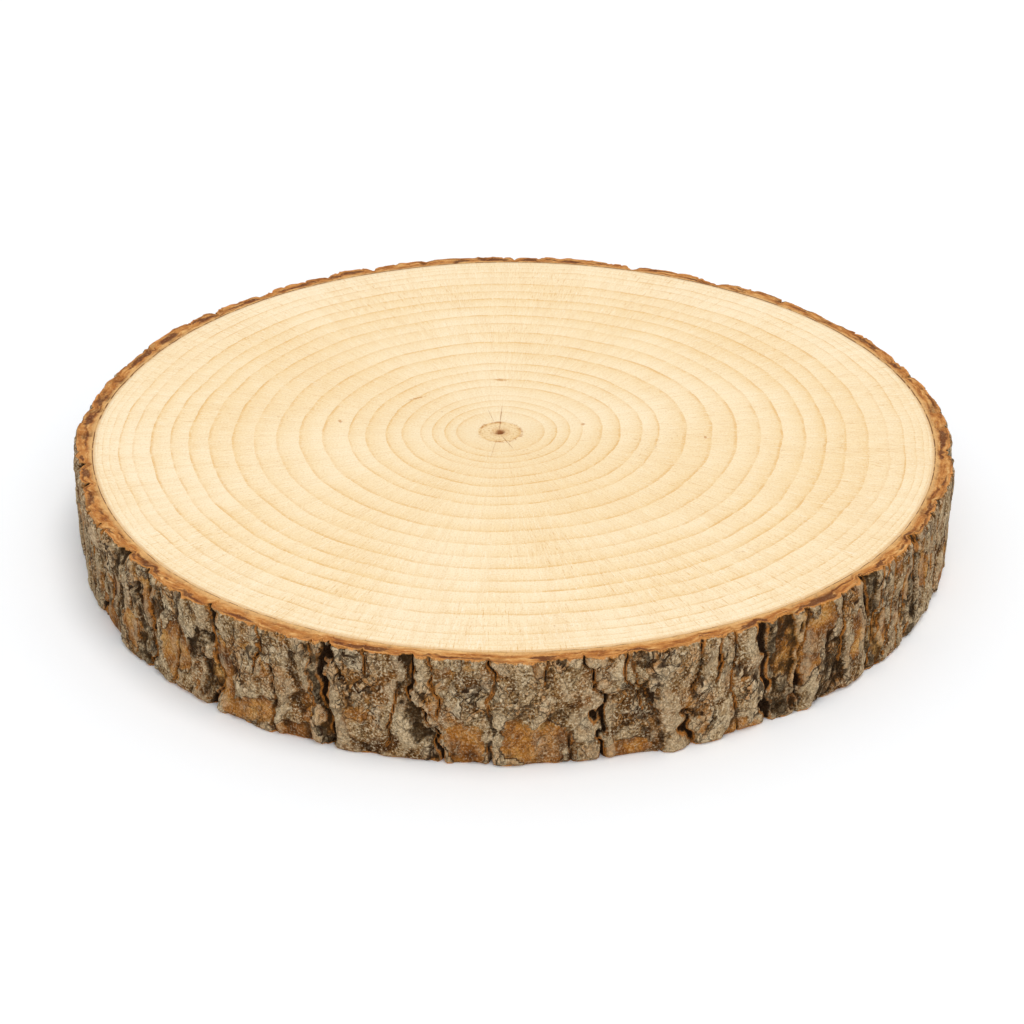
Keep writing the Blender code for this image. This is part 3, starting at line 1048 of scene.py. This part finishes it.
def bark_material():
    """The furrowed outer bark."""
    s = Shader("outer_bark", 0.85, 0.06)
    tall = s.stretch(1.0, 1.0, 0.8)
    fissure, rust, sunken, proud = map(s.field, ("fissure", "rust", "sunken", "proud"))
    mottle = s.noise(tall, 260.0, 5.0, 0.64, 0.4)
    speck = s.noise(s.place, 1350.0, 2.0, 0.6)
    fibres = s.noise(s.stretch(1.0, 1.0, 0.22), 620.0, 4.0, 0.6, 0.2)
    bent = s.warped(tall, 260.0, 0.0022)
    flake, flake_gap, flake_above = s.lapped(bent, 190.0)
    chip, chip_gap, chip_above = s.lapped(s.warped(tall, 520.0, 0.0011), 470.0)
    colour = bark_colour(s, s.place, mottle, flake, chip)

    # Bare rust-brown layers where scales have dropped off.
    rust_tone = s.ramp(
        s.total((s.noise(tall, 120.0, 4.0, 0.6), 0.7), (mottle, 0.3)),
        (
            (0.38, (84, 44, 14)),
            (0.46, (152, 92, 34)),
            (0.53, (190, 124, 50)),
            (0.62, (214, 160, 88)),
        ),
    )
    dropped = s.spread(s.math("MULTIPLY_ADD", flake, -0.75, rust), 0.05, 0.4)
    stray = s.times(s.spread(flake, 0.16, 0.1), s.spread(s.noise(s.place, 60.0, 2.0), 0.46, 0.56))
    dropped = s.math("MAXIMUM", dropped, s.times(stray, 0.8))
    colour = s.mix(s.times(dropped, 0.88), colour, rust_tone)

    # Painted shadow lines under the flakes, with pale lips above them that are partly worn edges and partly
    # painted highlight; grit; painted highlight on the high spots and painted shade in the hollows; and dark
    # mottling in the sunken strips.
    bare = s.spread(rust, 0.2, 0.8, 1.0, 0.35)
    patch = s.times(s.spread(s.noise(tall, 80.0, 3.0, 0.6), 0.42, 0.6, 0.16, 1.0), bare)
    flake_shadow, flake_lip_highlight = flake_shadows_and_lips(s, flake_gap, flake_above, 0.16, 0.95, 0.85)
    chip_shadow, chip_lip_highlight = flake_shadows_and_lips(s, chip_gap, chip_above, 0.24, 0.65, 0.6)
    # Painted shadow below, and a pale lip partly of painted highlight above, the edges of the larger scales
    # and chips.
    broad_shadow = s.spread(s.field("lap_edge"), -0.04, -0.4)
    broad_lip_highlight = s.spread(s.field("lap_edge"), 0.04, 0.45, 0.0, 0.7)
    broad_shadow = s.math("MAXIMUM", broad_shadow, s.spread(s.field("chip_edge"), -0.06, -0.5, 0.0, 0.9))
    painted_shadows = s.math("MAXIMUM", s.math("MAXIMUM", flake_shadow, chip_shadow), broad_shadow)
    painted_shadows = s.times(painted_shadows, patch)
    lips_and_highlights = s.math("MAXIMUM", s.math("MAXIMUM", flake_lip_highlight, chip_lip_highlight), broad_lip_highlight)
    lips_and_highlights = s.times(lips_and_highlights, patch)
    grit_share = s.math("MULTIPLY_ADD", dropped, -0.6, 1.0)
    dark_grit = s.times(s.spread(speck, 0.52, 0.32, 0.0, 0.86), grit_share)
    pale_grit = s.times(s.spread(speck, 0.5, 0.68, 0.0, 0.76), grit_share)
    colour = s.mix(dark_grit, colour, (58, 34, 12))
    colour = s.mix(pale_grit, colour, (234, 214, 180))
    lip_and_highlight_colour = s.mix(
        s.spread(s.noise(s.place, 110.0, 2.0), 0.46, 0.54), (234, 212, 176), (200, 134, 66)
    )
    # Pale lips where a flake passes over the next: partly worn edges, partly painted highlight.
    colour = s.mix(s.times(lips_and_highlights, 0.72), colour, lip_and_highlight_colour)
    # Paler on the high spots: partly weathered bark, partly painted highlight.
    colour = s.mix(s.spread(proud, 0.5, 0.8, 0.0, 0.42), colour, (218, 194, 156))
    # Painted shadow: dark lines where a flake lies under the next one.
    colour = s.mix(s.times(painted_shadows, 0.95), colour, (46, 26, 9))
    # Painted shade in the hollows.
    colour = s.mix(s.spread(proud, 0.46, 0.14, 0.0, 0.8), colour, (48, 28, 10))
    # Dark mottling inside the sunken strips.
    strip_dark = s.times(sunken, s.spread(mottle, 0.62, 0.42, 0.05, 0.86))
    colour = s.mix(strip_dark, colour, (50, 34, 14))
    rust_edge = s.times(s.spread(rust, 0.08, 0.4), s.spread(rust, 0.8, 0.5))
    rust_edge = s.times(rust_edge, s.spread(s.noise(s.place, 140.0, 2.0), 0.4, 0.56))
    colour = s.mix(s.times(rust_edge, 0.8), colour, (54, 28, 10))

    # Orange-brown on the walls of the fissures, near black inside.
    wall = s.times(s.spread(fissure, 0.12, 0.3), s.spread(fissure, 0.6, 0.38))
    wall_patch = s.spread(s.noise(tall, 150.0, 3.0, 0.6), 0.42, 0.56, 0.0, 0.84)
    colour = s.mix(s.times(wall, wall_patch), colour, (186, 118, 50))
    colour = s.mix(s.spread(fissure, 0.34, 0.66, 0.0, 0.88), colour, (42, 24, 10))

    # The saw has left a thin bright line along both edges.
    height = s.add("SeparateXYZ", {"Vector": s.place}).outputs["Z"]
    near = s.math("MINIMUM", height, s.math("SUBTRACT", THICKNESS, height))
    jog = s.times(s.math("SUBTRACT", s.noise(s.place, 320.0, 4.0, 0.65), 0.5), 0.003)
    trim = s.spread(s.math("ADD", near, jog), 0.0005, 0.0001, 0.0, 0.88)
    colour = s.mix(trim, colour, s.mix(mottle, (190, 108, 40), (244, 180, 104)))

    bumps = s.total(
        (mottle, 0.5),
        (speck, 0.36),
        (flake, s.spread(flake_gap, 0.0, 0.12, 0.12, 0.34)),
        (chip, s.spread(chip_gap, 0.0, 0.16, 0.06, 0.2)),
        (painted_shadows, -0.3),
        (fibres, 0.22),
    )
    rough = s.math("MULTIPLY_ADD", mottle, 0.2, 0.72)
    return s.finish(colour, rough, s.bump(bumps, 0.0026, 1.0))


# ---------------- the stage

CAMERA_AIM = (-0.0008, -0.0269, THICKNESS / 2)
CAMERA_DISTANCE = 0.8223
CAMERA_ELEVATION = 29.34
CAMERA_LENS = 84.4
FLOOR_SIZE = 14.0
AMBIENT = 0.64
AMBIENT_COLOUR = (0.925, 0.965, 1.0)
# Each light's direction from the slice, strength, colour and spread in degrees.
KEY = ((0.15, -0.02, 0.97), 1.09, (1.0, 0.955, 0.92), 30.0)
FILL = ((0.12, -0.78, 0.62), 0.74, (1.0, 0.95, 0.9), 60.0)


def make_camera():
    data = bpy.data.cameras.new("camera")
    data.lens = CAMERA_LENS
    data.clip_start = 0.02
    camera = add_object("camera", data)
    lift = math.radians(CAMERA_ELEVATION)
    away = Vector((0.0, -math.cos(lift), math.sin(lift))) * CAMERA_DISTANCE
    camera.location = Vector(CAMERA_AIM) + away
    camera.rotation_euler = (-away).to_track_quat("-Z", "Y").to_euler()
    bpy.context.scene.camera = camera


def make_floor():
    half = FLOOR_SIZE / 2
    level = CAD_LOW.z
    mesh = bpy.data.meshes.new("floor")
    corners = [(-half, -half, level), (half, -half, level), (half, half, level), (-half, half, level)]
    mesh.from_pydata(corners, [], [(0, 1, 2, 3)])
    s = Shader("studio_floor", 0.9, 0.0)
    s.surface.inputs["Base Color"].default_value = (0.97, 0.985, 1.0, 1.0)
    mesh.materials.append(s.material)
    add_object("floor", mesh)


def sun_light(name, towards, strength, colour, spread_degrees):
    """A far-off soft light, so that the floor is equally bright everywhere."""
    data = bpy.data.lights.new(name, "SUN")
    data.energy = strength
    data.color = colour
    data.angle = math.radians(spread_degrees)
    light = add_object(name, data)
    light.rotation_euler = Vector(towards).to_track_quat("Z", "Y").to_euler()


def light_stage():
    world = bpy.data.worlds.new("studio")
    bpy.context.scene.world = world
    world.use_nodes = True
    tree = world.node_tree
    backdrop = tree.nodes["Background"]
    backdrop.inputs["Color"].default_value = (1.0, 1.0, 1.0, 1.0)
    backdrop.inputs["Strength"].default_value = 1.0
    soft = tree.nodes.new("ShaderNodeBackground")
    soft.inputs["Color"].default_value = (*AMBIENT_COLOUR, 1.0)
    soft.inputs["Strength"].default_value = AMBIENT
    sight = tree.nodes.new("ShaderNodeLightPath")
    choose = tree.nodes.new("ShaderNodeMixShader")
    tree.links.new(sight.outputs["Is Camera Ray"], choose.inputs["Fac"])
    tree.links.new(soft.outputs[0], choose.inputs[1])
    tree.links.new(backdrop.outputs[0], choose.inputs[2])
    tree.links.new(choose.outputs[0], tree.nodes["World Output"].inputs["Surface"])
    sun_light("key", *KEY)
    sun_light("fill", *FILL)
    bpy.context.scene.view_settings.view_transform = "Standard"


def main():
    slice_piece = build_slice()
    for material in (wood_material(), inner_bark_material(), bark_material()):
        slice_piece.data.materials.append(material)
    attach(slice_piece, "root")
    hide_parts(CAD_NODE)
    make_camera()
    make_floor()
    light_stage()


main()
